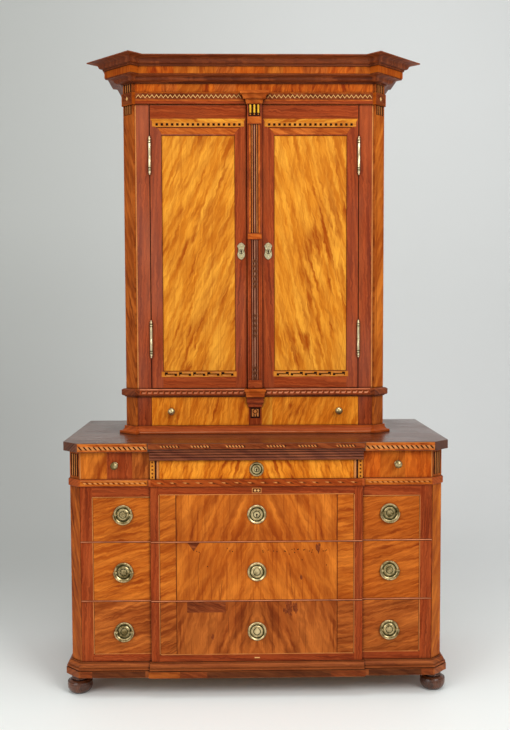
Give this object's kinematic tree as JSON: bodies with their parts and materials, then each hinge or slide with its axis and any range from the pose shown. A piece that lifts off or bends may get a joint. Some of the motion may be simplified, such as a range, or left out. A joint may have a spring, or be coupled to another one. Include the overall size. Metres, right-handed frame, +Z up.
{
  "type": "cabinet on chest of drawers",
  "caption": "Tall inlaid cabinet with hinged doors and a drawer, standing on a breakfront chest of sliding drawers with canted corners, bail handles and bun feet.",
  "frame": {"origin": "on the ground, under the middle of the chest's bounding box", "axes": "+Z up, front towards -Y, +X to the right of someone facing the front"},
  "size_m": [1.31, 0.655, 2.19],
  "materials": {
    "mahogany": "waxed polish",
    "satinwood": "waxed polish",
    "oak": "plain",
    "brass": "aged, stamped"
  },
  "bodies": {
    "case": {"bun_feet": "mahogany", "cornice_bed": "mahogany", "cornice_crown": "mahogany", "cornice_fascia": "satinwood", "frieze_dividers": "satinwood", "frieze_rail": "satinwood", "hinge_frame_halves": "brass", "ledge_moulding": "mahogany", "lower_back": "oak", "lower_boards": "oak", "lower_posts": "satinwood", "lower_sides": "mahogany", "lower_top": "mahogany", "pilaster_caps": "mahogany", "plinth": "mahogany", "reeded_band": "mahogany", "rope_rail": "mahogany", "shelves": "oak", "upper_back": "oak", "upper_base": "mahogany", "upper_boards": "oak", "upper_posts": "satinwood", "upper_sides": "mahogany", "upper_stiles": "mahogany"},
    "top_drawer": {"top_drawer_front": "satinwood", "top_drawer_box": "oak", "top_drawer_fittings": "brass"},
    "top_drawer_bail_left": {"top_drawer_bail_left": "brass"},
    "top_drawer_bail_right": {"top_drawer_bail_right": "brass"},
    "middle_drawer": {"middle_drawer_front": "satinwood", "middle_drawer_box": "oak", "middle_drawer_fittings": "brass"},
    "middle_drawer_bail_left": {"middle_drawer_bail_left": "brass"},
    "middle_drawer_bail_right": {"middle_drawer_bail_right": "brass"},
    "bottom_drawer": {"bottom_drawer_front": "satinwood", "bottom_drawer_box": "oak", "bottom_drawer_fittings": "brass"},
    "bottom_drawer_bail_left": {"bottom_drawer_bail_left": "brass"},
    "bottom_drawer_bail_right": {"bottom_drawer_bail_right": "brass"},
    "middle_drawer_keyhole_cover": {"middle_drawer_keyhole_cover": "brass"},
    "bottom_drawer_keyhole_cover": {"bottom_drawer_keyhole_cover": "brass"},
    "frieze_drawer_left": {"frieze_drawer_left_front": "satinwood", "frieze_drawer_left_box": "oak", "frieze_drawer_left_knob": "brass"},
    "door_left": {"door_left_frame": "mahogany", "door_left_panel": "satinwood", "door_left_brasses": "brass"},
    "frieze_drawer_right": {"frieze_drawer_right_front": "satinwood", "frieze_drawer_right_box": "oak", "frieze_drawer_right_knob": "brass"},
    "door_right": {"door_right_frame": "mahogany", "door_right_panel": "satinwood", "door_right_brasses": "brass", "centre_pilaster": "mahogany"},
    "frieze_drawer_centre": {"frieze_drawer_centre_front": "satinwood", "frieze_drawer_centre_box": "oak", "frieze_drawer_centre_fittings": "brass"},
    "upper_drawer": {"upper_drawer_front": "satinwood", "upper_drawer_box": "oak", "upper_drawer_knobs": "brass"}
  },
  "joints": [
    {"name": "top_drawer_slide", "type": "slide", "parent": "case", "child": "top_drawer", "axis": [0, -1, 0], "range_m": [0, 0.4]},
    {"name": "top_drawer_bail_left_swing", "type": "hinge", "parent": "top_drawer", "child": "top_drawer_bail_left", "pos_m": [-0.452, -0.3055, 0.6275], "axis": [-1, 0, 0], "range_deg": [0, 165]},
    {"name": "top_drawer_bail_right_swing", "type": "hinge", "parent": "top_drawer", "child": "top_drawer_bail_right", "pos_m": [0.452, -0.3055, 0.6275], "axis": [-1, 0, 0], "range_deg": [0, 165]},
    {"name": "middle_drawer_slide", "type": "slide", "parent": "case", "child": "middle_drawer", "axis": [0, -1, 0], "range_m": [0, 0.4]},
    {"name": "middle_drawer_bail_left_swing", "type": "hinge", "parent": "middle_drawer", "child": "middle_drawer_bail_left", "pos_m": [-0.452, -0.3055, 0.4305], "axis": [-1, 0, 0], "range_deg": [0, 165]},
    {"name": "middle_drawer_bail_right_swing", "type": "hinge", "parent": "middle_drawer", "child": "middle_drawer_bail_right", "pos_m": [0.452, -0.3055, 0.4305], "axis": [-1, 0, 0], "range_deg": [0, 165]},
    {"name": "bottom_drawer_slide", "type": "slide", "parent": "case", "child": "bottom_drawer", "axis": [0, -1, 0], "range_m": [0, 0.4]},
    {"name": "bottom_drawer_bail_left_swing", "type": "hinge", "parent": "bottom_drawer", "child": "bottom_drawer_bail_left", "pos_m": [-0.452, -0.3055, 0.225], "axis": [-1, 0, 0], "range_deg": [0, 165]},
    {"name": "bottom_drawer_bail_right_swing", "type": "hinge", "parent": "bottom_drawer", "child": "bottom_drawer_bail_right", "pos_m": [0.452, -0.3055, 0.225], "axis": [-1, 0, 0], "range_deg": [0, 165]},
    {"name": "middle_drawer_keyhole_cover_turn", "type": "hinge", "parent": "middle_drawer", "child": "middle_drawer_keyhole_cover", "pos_m": [0, -0.312, 0.4395], "axis": [0, -1, 0], "range_deg": [-120, 120]},
    {"name": "bottom_drawer_keyhole_cover_turn", "type": "hinge", "parent": "bottom_drawer", "child": "bottom_drawer_keyhole_cover", "pos_m": [0, -0.312, 0.234], "axis": [0, -1, 0], "range_deg": [-120, 120]},
    {"name": "frieze_drawer_left_slide", "type": "slide", "parent": "case", "child": "frieze_drawer_left", "axis": [0, -1, 0], "range_m": [0, 0.36]},
    {"name": "frieze_drawer_right_slide", "type": "slide", "parent": "case", "child": "frieze_drawer_right", "axis": [0, -1, 0], "range_m": [0, 0.36]},
    {"name": "frieze_drawer_centre_slide", "type": "slide", "parent": "case", "child": "frieze_drawer_centre", "axis": [0, -1, 0], "range_m": [0, 0.36]},
    {"name": "upper_drawer_slide", "type": "slide", "parent": "case", "child": "upper_drawer", "axis": [0, -1, 0], "range_m": [0, 0.26]},
    {"name": "door_left_hinge", "type": "hinge", "parent": "case", "child": "door_left", "pos_m": [-0.3695, -0.0923, 1.5365], "axis": [0, 0, -1], "range_deg": [0, 165]},
    {"name": "door_right_hinge", "type": "hinge", "parent": "case", "child": "door_right", "pos_m": [0.3695, -0.0923, 1.5365], "axis": [0, 0, 1], "range_deg": [0, 165]}
  ]
}
